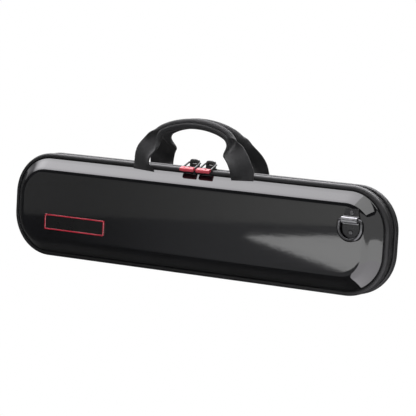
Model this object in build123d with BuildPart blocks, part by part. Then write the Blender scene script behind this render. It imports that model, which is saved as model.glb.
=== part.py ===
"""Hard flute case: two pressed shells on welted rims, closed by a two-slider zip.

Millimetres. The case stands on its hinge edge: X runs along its length, Y from the lid side (-Y)
to the base side (+Y), and Z up to the zip and the handles. The origin is the middle of the
bottom edge. Each half is drawn once, looking at its own outside, and is made for both sides.
"""

import os
from math import cos, radians, sin

from build123d import *

# ---- cavities for the flute's joints, which set the case's length and height
BODY_LENGTH = 356.0
BODY_WIDTH = 29.0
BODY_END_WALL = 17.0
FOOT_LENGTH = 136.0
JOINT_WIDTH = 23.0
JOINT_END_WALL = 11.5
CAVITY_RIB = 5.0
TRAY_SIDE_WALL = 4.5
POCKET_LENGTH = BODY_LENGTH + 2 * BODY_END_WALL
HEAD_LENGTH = POCKET_LENGTH - 2 * JOINT_END_WALL - CAVITY_RIB - FOOT_LENGTH
POCKET_HEIGHT = BODY_WIDTH + CAVITY_RIB + JOINT_WIDTH + 2 * TRAY_SIDE_WALL

# ---- overall outline, measured over the welts
END_MARGIN = 25.0
SIDE_MARGIN = 21.0
LENGTH = POCKET_LENGTH + 2 * END_MARGIN
HEIGHT = POCKET_HEIGHT + 2 * SIDE_MARGIN
CORNER_RADIUS = 44.0
CLEARANCE = 0.3
SEAM_GAP = 0.15

# ---- welted rim of each half: insets are measured inwards from the outline
WELT_DEPTH = 12.0
WELT_HEIGHT = 4.2
WELT_FRONT_RADIUS = 3.0
WELT_ZIP_RADIUS = 2.0
ZIP_CHANNEL = 3.6
TAPE_THICKNESS = 0.8
TAPE_WIDTH = 10.5
RIM_WALL = 1.6
RIM_GAP = 0.4

# ---- pressed shells
SHELL_DEPTH = 15.0
SHELL_WALL = 1.6
SHELL_DRAFT = 32.0
SHELL_EDGE_RADIUS = 5.0

# ---- zip
COIL_WIDTH = 2.1
COIL_CREST_INSET = 0.8
COIL_RADIUS = 1.9
HINGE_END_GAP = 26.0
HINGE_HALF_LENGTH = LENGTH / 2 - CORNER_RADIUS - HINGE_END_GAP
HINGE_FABRIC = 0.8
HINGE_SAG_INSET = 0.9
STOP_LENGTH = 4.0
STOP_GAP = 1.0
STOP_CLEAR = 0.4

# ---- sliders and their pulls
SLIDER_PARK_X = 1.9
SLIDER_SPACING = 19.0
SLIDER_LENGTH = 13.0
SLIDER_HALF_WIDTH = 3.2
SLIDER_NOSE = 2.0
SLIDER_PLATE = 1.7
FLANGE_WALL = 0.8
BRIDGE_LENGTH = 10.4
BRIDGE_WIDTH = 4.0
BRIDGE_RISE = 7.6
BRIDGE_LEG = 2.2
BRIDGE_CROWN = 2.6
BRIDGE_RADIUS = 3.0
BRIDGE_EDGE = 0.8
SLIDER_EDGE = 0.4
LOCK_WIDTH = 3.4
BAR_RADIUS = 1.0
BAR_RISE = 4.1
BAR_CLEARANCE = 0.1
PULL_BACK_HALF = 6.6
PULL_FRONT_HALF = 7.0
PULL_ARM = 13.2
PULL_SEAT = 0.05
PULL_DROOP = 22.7
PULL_BEND = 1.5
GRIP_WIDTH = 16.0
GRIP_LENGTH = 5.4
GRIP_THICKNESS = 3.6
GRIP_EDGE = 1.1
DIMPLE_RADIUS = 0.9
DIMPLE_DEPTH = 0.5
DIMPLE_SPACING = 6.0

# ---- webbing handles
WEBBING_WIDTH = 25.0
WEBBING_THICKNESS = 1.6
HANDLE_HALF_SPAN = 60.0
HANDLE_RISE = 52.3
HANDLE_LEAN = 10.0
HANDLE_STANDOFF = 1.8
HANDLE_ROOT_RISE = 1.6
HANDLE_ROOT_GAP = 0.65
GRIP_HALF_LENGTH = 40.0
GRIP_BAR_HEIGHT = 10.0
GRIP_BAR_THICKNESS = 6.0
GRIP_SAGITTA = 9.5
GRIP_BAR_EDGE = 1.5
FOLD_OPENING = 3.6
FOLD_DEPTH = 2.4
NECK_TAPER = 0.95
NECK_STEP = 1.0
LEG_OUTSIDE_TANGENT = (1.0, 0.75)
LEG_INSIDE_TANGENT = (0.5, 1.0)
TAB_THICKNESS = 0.6
TAB_FIT = 0.1

# ---- strap rings
RING_END_DISTANCE = 33.0
RING_TOP_DISTANCE = 20.5
RING_PLATE_WIDTH = 18.0
RING_PLATE_HEIGHT = 28.5
RING_BAR_DROP = 10.9
RING_PLATE_X = LENGTH / 2 - RING_END_DISTANCE
RING_PLATE_TOP = HEIGHT - RING_TOP_DISTANCE
RING_PLATE_BOTTOM = RING_PLATE_TOP - RING_PLATE_HEIGHT
RING_BAR_Z = RING_PLATE_TOP - RING_BAR_DROP
RING_PLATE_THICKNESS = 1.2
RING_PLATE_CHAMFER = 2.0
RING_PLATE_CORNER = 1.5
RING_WIDTH = 28.0
RING_HEIGHT = 23.0
RING_WIRE = 3.6
RING_BEND = 3.2
RING_PLATE_GAP = 0.4
BRACKET_HEIGHT = 7.8
BRACKET_WIDTH = 17.0
BRACKET_WALL = 1.1
BRACKET_RIDGE_RADIUS = 2.1
RIVET_INSET = 4.4
RIVET_LOWER_INSET = 5.4
RIVET_TAIL_RADIUS = 2.1
RIVET_SHANK_RADIUS = 1.6
RIVET_HEAD_RADIUS = 2.5
RIVET_HEAD_HEIGHT = 0.9
RIVET_TAIL = 0.8
RIVET_FIT = 0.05

# ---- badge, left blank
BADGE_END_DISTANCE = 87.1
BADGE_RISE = 38.0
BADGE_X = BADGE_END_DISTANCE - LENGTH / 2
BADGE_LENGTH = 74.0
BADGE_HEIGHT = 16.0
BADGE_CORNER = 1.6
BADGE_BASE = 0.9
BADGE_RIM = 1.3
BADGE_RIM_HEIGHT = 1.4

# ---- foam bodies and the fitted tray
POCKET_RADIUS = 16.0
POCKET_FLOOR = 23.5
FOAM_RECESS = 0.8
TRAY_RECESS = 2.0
CAVITY_FLOOR = 20.5
CAVITY_ROUND = 8.0
SCOOP_RADIUS = 13.0
SCOOP_DEPTH = 12.0
HEAD_SCOOP_END = 135.0
FOOT_SCOOP_END = 85.0
PAD_THICKNESS = 8.0
PAD_RECESS = 7.0
PAD_EDGE = 3.0

# ---- places worked out from the sizes above
MID_HEIGHT = HEIGHT / 2
RIM_INSET = WELT_HEIGHT + TAPE_THICKNESS
RIM_INNER_INSET = RIM_INSET + RIM_WALL
FACE_DEPTH = WELT_DEPTH + SHELL_DEPTH
SIDES = {"lid": -1, "base": 1}


def face_plane(side, depth, x=0.0, z=MID_HEIGHT):
    """A plane parallel to the case's faces, seen from outside the given half, with its Y up."""
    sign = SIDES[side]
    return Plane(origin=(-sign * x, sign * depth, z), x_dir=(-sign, 0, 0), z_dir=(0, sign, 0))


def outline(inset, mode=Mode.ADD):
    """The case's rounded outline, drawn at an inset from the welts' outer edge."""
    RectangleRounded(LENGTH - 2 * inset, HEIGHT - 2 * inset, CORNER_RADIUS - inset, mode=mode)


def outermost(part, side):
    """The faces of a part that lie furthest out on its own side."""
    return part.faces().group_by(Axis.Y)[-1 if side == "base" else 0]


def innermost(part, side):
    """The faces of a part that lie nearest to the seam between the halves."""
    return part.faces().group_by(Axis.Y)[0 if side == "base" else -1]


def save(part, name):
    """Labels a finished piece and writes it to its own file."""
    part.label = name
    export_step(part, f"parts/{name}.step")


def band(side, outer_inset, inner_inset, near, far):
    """A band that follows the outline between two insets and two depths."""
    with BuildPart() as ring:
        with BuildSketch(face_plane(side, near)):
            outline(outer_inset)
            outline(inner_inset, mode=Mode.SUBTRACT)
        extrude(amount=far - near)
    return ring.part


def hinge_run():
    """The stretch along the bottom edge that the hinge takes up in place of the zip."""
    with BuildPart() as run:
        Box(2 * HINGE_HALF_LENGTH, 2 * WELT_DEPTH, 4 * RIM_INSET)
    return run.part


# ---- shells


def pressed_form(side, gap):
    """The drafted, round-edged form that lies a gap inside the shell's outer skin."""
    with BuildPart() as form:
        with BuildSketch(face_plane(side, WELT_DEPTH)):
            outline(RIM_INSET + gap / cos(radians(SHELL_DRAFT)))
        extrude(amount=SHELL_DEPTH - gap, taper=SHELL_DRAFT)
        fillet(outermost(form, side).edges(), SHELL_EDGE_RADIUS - gap)
    return form.part


def make_shell(side):
    """A pressed sheet with drafted walls and a rounded edge, open towards the seam."""
    skin = pressed_form(side, 0)
    hollow = pressed_form(side, SHELL_WALL)
    with BuildPart() as shell:
        add(skin)
        add(hollow, mode=Mode.SUBTRACT)
        with BuildSketch(face_plane(side, FACE_DEPTH, RING_PLATE_X, 0)):
            with Locations(*rivet_points()):
                Circle(RIVET_SHANK_RADIUS + RIVET_FIT)
        extrude(amount=-2 * SHELL_WALL, mode=Mode.SUBTRACT)
    return shell.part


# ---- rims: frame, welt and zip tape


def make_frame(side):
    """The stiff band inside the welt, which the shell's rim and the tape are sewn to."""
    return band(side, RIM_INSET, RIM_INNER_INSET, RIM_GAP, WELT_DEPTH)


def make_welt(side):
    """The padded piping round the rim, rounded towards the shell and towards the zip."""
    with BuildPart() as welt:
        add(band(side, 0, WELT_HEIGHT, ZIP_CHANNEL, WELT_DEPTH))
        fillet(outer_edges(outermost(welt, side)), WELT_FRONT_RADIUS)
        fillet(outer_edges(innermost(welt, side)), WELT_ZIP_RADIUS)
    return welt.part


def outer_edges(faces):
    """The edges of a ring-shaped face's outer outline."""
    return faces[0].outer_wire().edges()


def make_tape(side):
    """The zip's woven tape, which ends where the hinge fabric begins."""
    with BuildPart() as tape:
        add(band(side, WELT_HEIGHT, RIM_INSET, SEAM_GAP, TAPE_WIDTH))
        add(hinge_run(), mode=Mode.SUBTRACT)
    return tape.part


def make_coil(side):
    """One half of the closed zip chain, a rounded bead along the tape's edge."""
    with BuildPart() as coil:
        add(band(side, COIL_CREST_INSET, WELT_HEIGHT, SEAM_GAP, SEAM_GAP + COIL_WIDTH))
        fillet(outer_edges(outermost(coil, side)), COIL_RADIUS)
        add(hinge_run(), mode=Mode.SUBTRACT)
    return coil.part


def make_stops(side):
    """The two metal clips that end the zip, just inside the ends of the hinge fabric."""
    with BuildPart() as stops:
        stop_x = HINGE_HALF_LENGTH - STOP_GAP - STOP_LENGTH / 2
        with BuildSketch(face_plane(side, SEAM_GAP, z=(COIL_CREST_INSET + WELT_HEIGHT) / 2)):
            with Locations((-stop_x, 0), (stop_x, 0)):
                Rectangle(STOP_LENGTH, WELT_HEIGHT - COIL_CREST_INSET)
        extrude(amount=COIL_WIDTH + STOP_CLEAR)
        fillet(stops.edges().filter_by(Axis.Z), COIL_WIDTH / 4)
    return stops.part


def make_hinge():
    """Fabric gutter that joins the halves' tapes along the bottom, slack enough to fold flat."""
    length = 2 * (HINGE_HALF_LENGTH - 2 * STOP_GAP - STOP_LENGTH)
    gutter = ZIP_CHANNEL - CLEARANCE
    with BuildPart() as hinge:
        with BuildSketch(Plane.YZ.offset(-length / 2)):
            with Locations((0, (HINGE_SAG_INSET + RIM_INSET) / 2)):
                Rectangle(2 * gutter, RIM_INSET - HINGE_SAG_INSET)
            with Locations((0, (HINGE_SAG_INSET + HINGE_FABRIC + RIM_INSET) / 2)):
                Rectangle(
                    2 * (gutter - HINGE_FABRIC),
                    RIM_INSET - HINGE_SAG_INSET - HINGE_FABRIC,
                    mode=Mode.SUBTRACT,
                )
            wing = TAPE_WIDTH - gutter + HINGE_FABRIC
            for sign in (-1, 1):
                with Locations((sign * (TAPE_WIDTH - wing / 2), (WELT_HEIGHT + RIM_INSET) / 2)):
                    Rectangle(wing, TAPE_THICKNESS)
        extrude(amount=length)
        bottom = hinge.edges().filter_by(Axis.X).group_by(Axis.Z)[0]
        fillet(bottom, HINGE_FABRIC)
    return hinge.part


# ---- foam, tray and lid pad


def make_foam(side, pocket_floor):
    """The moulded foam that fills a shell, with a pocket for what it carries."""
    core = pressed_form(side, SHELL_WALL + CLEARANCE)
    with BuildPart() as foam:
        add(core)
        with BuildSketch(face_plane(side, FOAM_RECESS)):
            outline(RIM_INNER_INSET + CLEARANCE)
        extrude(amount=WELT_DEPTH - FOAM_RECESS)
        with BuildSketch(face_plane(side, FOAM_RECESS)):
            RectangleRounded(POCKET_LENGTH, POCKET_HEIGHT, POCKET_RADIUS)
        extrude(amount=pocket_floor - FOAM_RECESS, mode=Mode.SUBTRACT)
        with BuildSketch(face_plane(side, FACE_DEPTH, RING_PLATE_X, 0)):
            with Locations(*rivet_points()):
                Circle(RIVET_HEAD_RADIUS + CLEARANCE)
        rivet_room = SHELL_WALL + RIVET_TAIL + CLEARANCE
        extrude(amount=-rivet_room, mode=Mode.SUBTRACT)
    return foam.part


def make_trough(length, width, x, z):
    """The round-bottomed space that one joint of the flute takes up in the tray."""
    with BuildPart() as trough:
        with BuildSketch(face_plane("base", TRAY_RECESS, x, z)):
            RectangleRounded(length, width, width / 2 - CLEARANCE)
        extrude(amount=CAVITY_FLOOR - TRAY_RECESS)
        fillet(outermost(trough, "base").edges(), CAVITY_ROUND)
    return trough.part


def make_tray():
    """The plush-covered tray with a cavity for each joint and scoops for the fingers."""
    upper_z = MID_HEIGHT + POCKET_HEIGHT / 2 - TRAY_SIDE_WALL - BODY_WIDTH / 2
    lower_z = MID_HEIGHT - POCKET_HEIGHT / 2 + TRAY_SIDE_WALL + JOINT_WIDTH / 2
    head_end = JOINT_END_WALL - POCKET_LENGTH / 2
    foot_end = POCKET_LENGTH / 2 - JOINT_END_WALL
    troughs = [
        make_trough(BODY_LENGTH, BODY_WIDTH, 0, upper_z),
        make_trough(HEAD_LENGTH, JOINT_WIDTH, head_end + HEAD_LENGTH / 2, lower_z),
        make_trough(FOOT_LENGTH, JOINT_WIDTH, foot_end - FOOT_LENGTH / 2, lower_z),
    ]
    with BuildPart() as tray:
        with BuildSketch(face_plane("base", TRAY_RECESS)):
            RectangleRounded(
                POCKET_LENGTH - 2 * CLEARANCE,
                POCKET_HEIGHT - 2 * CLEARANCE,
                POCKET_RADIUS - CLEARANCE,
            )
        extrude(amount=POCKET_FLOOR - TRAY_RECESS)
        for trough in troughs:
            add(trough, mode=Mode.SUBTRACT)
        rib_z = lower_z + (JOINT_WIDTH + CAVITY_RIB) / 2
        head_scoop = HEAD_SCOOP_END - POCKET_LENGTH / 2
        foot_scoop = POCKET_LENGTH / 2 - FOOT_SCOOP_END
        with BuildSketch(face_plane("base", TRAY_RECESS, 0, rib_z)):
            with Locations((head_scoop, 0), (foot_scoop, 0)):
                Circle(SCOOP_RADIUS)
        extrude(amount=SCOOP_DEPTH, mode=Mode.SUBTRACT)
    return tray.part


def make_lid_pad():
    """The plush-covered cushion that holds the flute down in its tray."""
    with BuildPart() as pad:
        with BuildSketch(face_plane("lid", PAD_RECESS)):
            RectangleRounded(
                POCKET_LENGTH - 2 * CLEARANCE,
                POCKET_HEIGHT - 2 * CLEARANCE,
                POCKET_RADIUS - CLEARANCE,
            )
        extrude(amount=PAD_THICKNESS)
        fillet(innermost(pad, "lid").edges(), PAD_EDGE)
    return pad.part


# ---- strap ring on each half


def rivet_points():
    """The two rivet centres on the ring's plate, about the plate's own X and the floor."""
    return [(0, RING_PLATE_TOP - RIVET_INSET), (0, RING_PLATE_BOTTOM + RIVET_LOWER_INSET)]


def make_ring_plate(side):
    """The stamped plate behind the strap ring, formed to the shell and round at its lower end."""
    half = RING_PLATE_WIDTH / 2
    top_half = half - RING_PLATE_CHAMFER
    shoulder = RING_PLATE_TOP - 2 * RIVET_INSET
    round_z = RING_PLATE_BOTTOM + half
    with BuildPart() as plate:
        with BuildSketch(face_plane(side, WELT_DEPTH, RING_PLATE_X, 0)):
            with BuildLine():
                Polyline(
                    (half, round_z),
                    (half, shoulder),
                    (top_half, RING_PLATE_TOP),
                    (-top_half, RING_PLATE_TOP),
                    (-half, shoulder),
                    (-half, round_z),
                )
                ThreePointArc((-half, round_z), (0, RING_PLATE_BOTTOM), (half, round_z))
            make_face()
            with Locations(*rivet_points()):
                Circle(RIVET_SHANK_RADIUS + RIVET_FIT, mode=Mode.SUBTRACT)
        extrude(amount=2 * SHELL_DEPTH)
        fillet(plate.edges().filter_by(Axis.Y).group_by(Axis.Z)[-1], RING_PLATE_CORNER)
        add(pressed_form(side, -RING_PLATE_THICKNESS), mode=Mode.INTERSECT)
        add(pressed_form(side, 0), mode=Mode.SUBTRACT)
    return plate.part


def make_bracket(side):
    """The double-ridged saddle that holds the ring's bar against the plate."""
    plate_face = FACE_DEPTH + RING_PLATE_THICKNESS
    bar_depth = RING_PLATE_GAP + RING_WIRE / 2
    saddle_inner = RING_WIRE / 2 + CLEARANCE
    saddle_outer = saddle_inner + BRACKET_WALL
    ridge_z = saddle_outer - BRACKET_RIDGE_RADIUS
    bracket_x = RING_PLATE_X + BRACKET_WIDTH / 2
    sign = SIDES[side]
    section = Plane(
        origin=(-sign * bracket_x, sign * plate_face, RING_BAR_Z),
        x_dir=(0, sign, 0),
        z_dir=(sign, 0, 0),
    )
    with BuildPart() as bracket:
        with BuildSketch(section):
            crown = bar_depth + BRACKET_WALL
            with Locations((crown, -ridge_z), (crown, ridge_z)):
                Circle(BRACKET_RIDGE_RADIUS)
            with Locations((crown / 2, 0)):
                Rectangle(crown, 2 * saddle_outer)
            with Locations((BRACKET_WALL / 2, 0)):
                Rectangle(BRACKET_WALL, BRACKET_HEIGHT)
            with Locations((bar_depth, 0)):
                Circle(saddle_inner, mode=Mode.SUBTRACT)
            with Locations((bar_depth / 2, 0)):
                Rectangle(bar_depth, 2 * saddle_inner, mode=Mode.SUBTRACT)
        extrude(amount=BRACKET_WIDTH)
    return bracket.part


def make_strap_ring(side):
    """The D-shaped wire ring, hanging from its straight bar."""
    depth = FACE_DEPTH + RING_PLATE_THICKNESS + RING_PLATE_GAP + RING_WIRE / 2
    half = (RING_WIDTH - RING_WIRE) / 2
    drop = RING_HEIGHT - RING_WIRE
    with BuildPart() as ring:
        with BuildLine(face_plane(side, depth, RING_PLATE_X, RING_BAR_Z)) as path:
            FilletPolyline(
                (-half, half - drop), (-half, 0), (half, 0), (half, half - drop), radius=RING_BEND
            )
            ThreePointArc((half, half - drop), (0, -drop), (-half, half - drop))
        wire = path.wires()[0]
        with BuildSketch(Plane(origin=wire @ 0, z_dir=wire % 0)):
            Circle(RING_WIRE / 2)
        sweep(path=wire)
    return ring.part


def make_rivets(side):
    """Domed rivets through plate and shell, closed over a flat tail inside."""
    head_base = FACE_DEPTH + RING_PLATE_THICKNESS
    grip = RING_PLATE_THICKNESS + SHELL_WALL
    with BuildPart() as rivets:
        with BuildSketch(face_plane(side, head_base, RING_PLATE_X, 0)):
            with Locations(*rivet_points()):
                Circle(RIVET_HEAD_RADIUS)
        extrude(amount=RIVET_HEAD_HEIGHT)
        fillet(outermost(rivets, side).edges(), RIVET_HEAD_HEIGHT - RIVET_FIT)
        with BuildSketch(face_plane(side, head_base, RING_PLATE_X, 0)):
            with Locations(*rivet_points()):
                Circle(RIVET_SHANK_RADIUS)
        extrude(amount=-grip)
        with BuildSketch(face_plane(side, head_base - grip, RING_PLATE_X, 0)):
            with Locations(*rivet_points()):
                Circle(RIVET_TAIL_RADIUS)
        extrude(amount=-RIVET_TAIL)
    return rivets.part


# ---- badge


def make_badge_plate():
    """The plain field of the badge."""
    with BuildPart() as plate:
        with BuildSketch(face_plane("lid", FACE_DEPTH, BADGE_X, BADGE_RISE)):
            RectangleRounded(
                BADGE_LENGTH - 2 * BADGE_RIM,
                BADGE_HEIGHT - 2 * BADGE_RIM,
                BADGE_CORNER / 2,
            )
        extrude(amount=BADGE_BASE)
    return plate.part


def make_badge_rim():
    """The raised rim round the badge's field."""
    with BuildPart() as rim:
        with BuildSketch(face_plane("lid", FACE_DEPTH, BADGE_X, BADGE_RISE)):
            RectangleRounded(BADGE_LENGTH, BADGE_HEIGHT, BADGE_CORNER)
            RectangleRounded(
                BADGE_LENGTH - 2 * BADGE_RIM,
                BADGE_HEIGHT - 2 * BADGE_RIM,
                BADGE_CORNER / 2,
                mode=Mode.SUBTRACT,
            )
        extrude(amount=BADGE_RIM_HEIGHT)
        fillet(outermost(rim, "lid").edges(), BADGE_RIM / 4)
    return rim.part


# ---- handles


def root_depth():
    """How far from the seam the webbing stands at its stitched root."""
    return WELT_DEPTH + HANDLE_STANDOFF + WEBBING_THICKNESS / 2


def root_height():
    """The height at which the webbing bends out of its stitched tabs."""
    return HEIGHT - RIM_INSET + HANDLE_ROOT_RISE


def root_plane(side):
    """The plane of a handle's folded webbing, leaning over the zip from its stitched root."""
    sign = SIDES[side]
    lean = radians(HANDLE_LEAN)
    return Plane(
        origin=(0, sign * root_depth(), root_height()),
        x_dir=(-sign, 0, 0),
        z_dir=(0, sign * cos(lean), sin(lean)),
    )


def leg_shape(sign):
    """One leg of the handle: full webbing width at its root, gathered where the grip begins."""
    outer = sign * (HANDLE_HALF_SPAN + WEBBING_WIDTH / 2)
    inner = sign * (HANDLE_HALF_SPAN - WEBBING_WIDTH / 2)
    root = WEBBING_THICKNESS / 2 + HANDLE_ROOT_GAP
    neck = sign * GRIP_HALF_LENGTH
    neck_top = HANDLE_RISE - GRIP_SAGITTA
    neck_bottom = neck_top - GRIP_BAR_HEIGHT + NECK_STEP
    lean_in, rise = LEG_OUTSIDE_TANGENT
    swing_out, fall = LEG_INSIDE_TANGENT
    with BuildSketch() as leg:
        with BuildLine():
            outside = Spline(
                (outer, root),
                (neck, neck_top),
                tangents=[(0, 1), (-sign * lean_in, rise)],
            )
            across = Line(outside @ 1, (neck * NECK_TAPER, neck_bottom))
            inside = Spline(
                across @ 1,
                (inner, root),
                tangents=[(sign * swing_out, -fall), (0, -1)],
            )
            Line(inside @ 1, outside @ 0)
        make_face()
    return leg.sketch


def grip_shape(drop, height):
    """A band of even height that hangs under the handle's top arc."""
    ends = HANDLE_RISE - GRIP_SAGITTA - drop
    crown = HANDLE_RISE - drop
    with BuildSketch() as grip:
        with BuildLine():
            over = ThreePointArc((-GRIP_HALF_LENGTH, ends), (0, crown), (GRIP_HALF_LENGTH, ends))
            side = Line(over @ 1, (GRIP_HALF_LENGTH, ends - height))
            under = ThreePointArc(side @ 1, (0, crown - height), (-GRIP_HALF_LENGTH, ends - height))
            Line(under @ 1, over @ 0)
        make_face()
    return grip.sketch


def make_handle(side):
    """A carrying handle: two flat legs and a grip of the same webbing folded lengthwise."""
    plane = root_plane(side)
    with BuildPart() as handle:
        with BuildSketch(plane.offset(-WEBBING_THICKNESS / 2)):
            add(leg_shape(-1))
            add(leg_shape(1))
        extrude(amount=WEBBING_THICKNESS)
        with BuildSketch(plane.offset(-GRIP_BAR_THICKNESS / 2)):
            add(grip_shape(0, GRIP_BAR_HEIGHT))
        extrude(amount=GRIP_BAR_THICKNESS)
        with BuildSketch(plane.offset(GRIP_BAR_THICKNESS / 2)):
            add(grip_shape((GRIP_BAR_HEIGHT - FOLD_OPENING) / 2, FOLD_OPENING))
        extrude(amount=-FOLD_DEPTH, mode=Mode.SUBTRACT)
    return handle.part


def make_handle_tabs(side):
    """The stitched ends of the webbing, held in the crease between welt and shell."""
    sign = SIDES[side]
    crease = HEIGHT - RIM_INSET + TAB_FIT
    tongue_start = TAPE_WIDTH + CLEARANCE
    tongue = root_depth() - tongue_start
    with BuildPart() as tabs:
        for x in (-HANDLE_HALF_SPAN, HANDLE_HALF_SPAN):
            with BuildSketch(Plane.YZ.offset(x - WEBBING_WIDTH / 2)):
                with Locations((sign * (tongue_start + tongue / 2), crease + TAB_THICKNESS / 2)):
                    Rectangle(tongue, TAB_THICKNESS)
                with Locations((sign * root_depth(), (crease + root_height()) / 2)):
                    Rectangle(WEBBING_THICKNESS, root_height() - crease)
                with Locations((sign * root_depth(), root_height())):
                    Circle(WEBBING_THICKNESS / 2)
            extrude(amount=WEBBING_WIDTH)
    return tabs.part


# ---- zip sliders and pulls


def make_slider(x):
    """A slider riding on the closed chain, with flanges down its sides and a bridge for the pull."""
    seat = HEIGHT - COIL_CREST_INSET + CLEARANCE
    flange_foot = HEIGHT - WELT_HEIGHT + CLEARANCE
    half = SLIDER_LENGTH / 2
    with BuildPart() as slider:
        with BuildSketch(Plane.XY.offset(seat)):
            with BuildLine():
                Polyline(
                    (x - half, -SLIDER_HALF_WIDTH),
                    (x + half - SLIDER_NOSE, -SLIDER_HALF_WIDTH),
                    (x + half, -SLIDER_HALF_WIDTH / 2),
                    (x + half, SLIDER_HALF_WIDTH / 2),
                    (x + half - SLIDER_NOSE, SLIDER_HALF_WIDTH),
                    (x - half, SLIDER_HALF_WIDTH),
                    close=True,
                )
            make_face()
        extrude(amount=SLIDER_PLATE)
        fillet(slider.edges().group_by(Axis.Z)[-1], SLIDER_EDGE)
        flange_y = SLIDER_HALF_WIDTH - FLANGE_WALL / 2
        with BuildSketch(Plane.XY.offset(flange_foot)):
            with Locations((x - SLIDER_NOSE / 2, -flange_y), (x - SLIDER_NOSE / 2, flange_y)):
                Rectangle(SLIDER_LENGTH - SLIDER_NOSE, FLANGE_WALL)
        extrude(amount=seat - flange_foot)
        bridge_base = seat + SLIDER_PLATE
        with BuildSketch(Plane.XZ.offset(-BRIDGE_WIDTH / 2)):
            with Locations((x, bridge_base + BRIDGE_RISE / 2)):
                RectangleRounded(BRIDGE_LENGTH, BRIDGE_RISE, BRIDGE_RADIUS)
            with Locations((x, bridge_base + BRIDGE_RISE / 4)):
                Rectangle(BRIDGE_LENGTH, BRIDGE_RISE / 2)
            window = BRIDGE_RISE - BRIDGE_CROWN
            with Locations((x, bridge_base + window / 2)):
                Rectangle(BRIDGE_LENGTH - 2 * BRIDGE_LEG, window, mode=Mode.SUBTRACT)
        extrude(amount=BRIDGE_WIDTH)
        fillet(slider.edges().filter_by(Axis.X).group_by(Axis.Z)[-1], BRIDGE_EDGE)
        lock_rise = BAR_RISE - BAR_RADIUS - CLEARANCE
        with BuildSketch(Plane.XY.offset(bridge_base)):
            with Locations((x, 0)):
                Rectangle(BRIDGE_LENGTH - 2 * BRIDGE_LEG, LOCK_WIDTH)
        extrude(amount=lock_rise)
        with BuildSketch(Plane.YZ.offset(x - half)):
            with Locations((0, bridge_base + BAR_RISE)):
                Circle(BAR_RADIUS + BAR_CLEARANCE)
        extrude(amount=SLIDER_LENGTH, mode=Mode.SUBTRACT)
    return slider.part


def pull_plane(x):
    """The plane of a resting pull: it droops from the bridge over the lid's welt."""
    bar_z = HEIGHT - COIL_CREST_INSET + CLEARANCE + SLIDER_PLATE + BAR_RISE
    droop = radians(PULL_DROOP)
    return Plane(origin=(x, 0, bar_z), x_dir=(1, 0, 0), z_dir=(0, -sin(droop), cos(droop)))


def make_pull_frame(x):
    """The wire bail that turns in the slider's bridge and ends in the rubber grip."""
    plane = pull_plane(x)
    with BuildPart() as bail:
        with BuildLine(plane) as path:
            FilletPolyline(
                (-PULL_FRONT_HALF, -PULL_ARM),
                (-PULL_BACK_HALF, 0),
                (PULL_BACK_HALF, 0),
                (PULL_FRONT_HALF, -PULL_ARM),
                radius=PULL_BEND,
            )
        wire = path.wires()[0]
        with BuildSketch(Plane(origin=wire @ 0, z_dir=wire % 0)):
            Circle(BAR_RADIUS)
        sweep(path=wire)
    return bail.part


def make_pull_grip(x):
    """The soft grip moulded on the ends of the bail, with two dimples for the fingertips."""
    plane = pull_plane(x)
    grip_centre = -PULL_ARM - PULL_SEAT - GRIP_LENGTH / 2
    with BuildPart() as grip:
        with BuildSketch(plane.offset(-GRIP_THICKNESS / 2)):
            with Locations((0, grip_centre)):
                Rectangle(GRIP_WIDTH, GRIP_LENGTH)
        extrude(amount=GRIP_THICKNESS)
        fillet(grip.edges(), GRIP_EDGE)
        with BuildSketch(plane.offset(GRIP_THICKNESS / 2)):
            with Locations((0, grip_centre)):
                with GridLocations(DIMPLE_SPACING, 0, 2, 1):
                    Circle(DIMPLE_RADIUS)
        extrude(amount=-DIMPLE_DEPTH, mode=Mode.SUBTRACT)
    return grip.part


# ---- build and write every piece

os.makedirs("parts", exist_ok=True)

for side in SIDES:
    save(make_shell(side), f"{side}_shell")
    save(make_frame(side), f"{side}_frame")
    save(make_welt(side), f"{side}_welt")
    save(make_tape(side), f"{side}_zip_tape")
    save(make_coil(side), f"{side}_zip_coil")
    save(make_stops(side), f"{side}_zip_stops")
    save(make_ring_plate(side), f"{side}_ring_plate")
    save(make_bracket(side), f"{side}_ring_bracket")
    save(make_strap_ring(side), f"{side}_strap_ring")
    save(make_rivets(side), f"{side}_ring_rivets")
    save(make_handle(side), f"{side}_handle")
    save(make_handle_tabs(side), f"{side}_handle_tabs")

save(make_hinge(), "hinge_fabric")
save(make_foam("base", POCKET_FLOOR), "base_foam")
save(make_foam("lid", PAD_RECESS + PAD_THICKNESS), "lid_foam")
save(make_tray(), "flute_tray")
save(make_lid_pad(), "lid_pad")
save(make_badge_plate(), "badge_plate")
save(make_badge_rim(), "badge_rim")

for side, sign in (("left", -1), ("right", 1)):
    slider_x = SLIDER_PARK_X + sign * SLIDER_SPACING / 2
    save(make_slider(slider_x), f"{side}_slider")
    save(make_pull_frame(slider_x), f"{side}_pull_frame")
    save(make_pull_grip(slider_x), f"{side}_pull_grip")
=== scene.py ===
"""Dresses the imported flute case: sewn rims, coil zip, webbing handles, gloss shells and plush.

Metres, in the frame of the CAD model: X along the case, -Y towards the lid's face, +Z up.
Each half is drawn once as (x, depth, z), with depth measured outwards from the zip, and placed on
its own side; the base is the lid turned half round the vertical axis.
"""

import math

import bmesh
import bpy
import numpy as np
from mathutils import Matrix, Vector, noise
from mathutils.bvhtree import BVHTree


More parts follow.
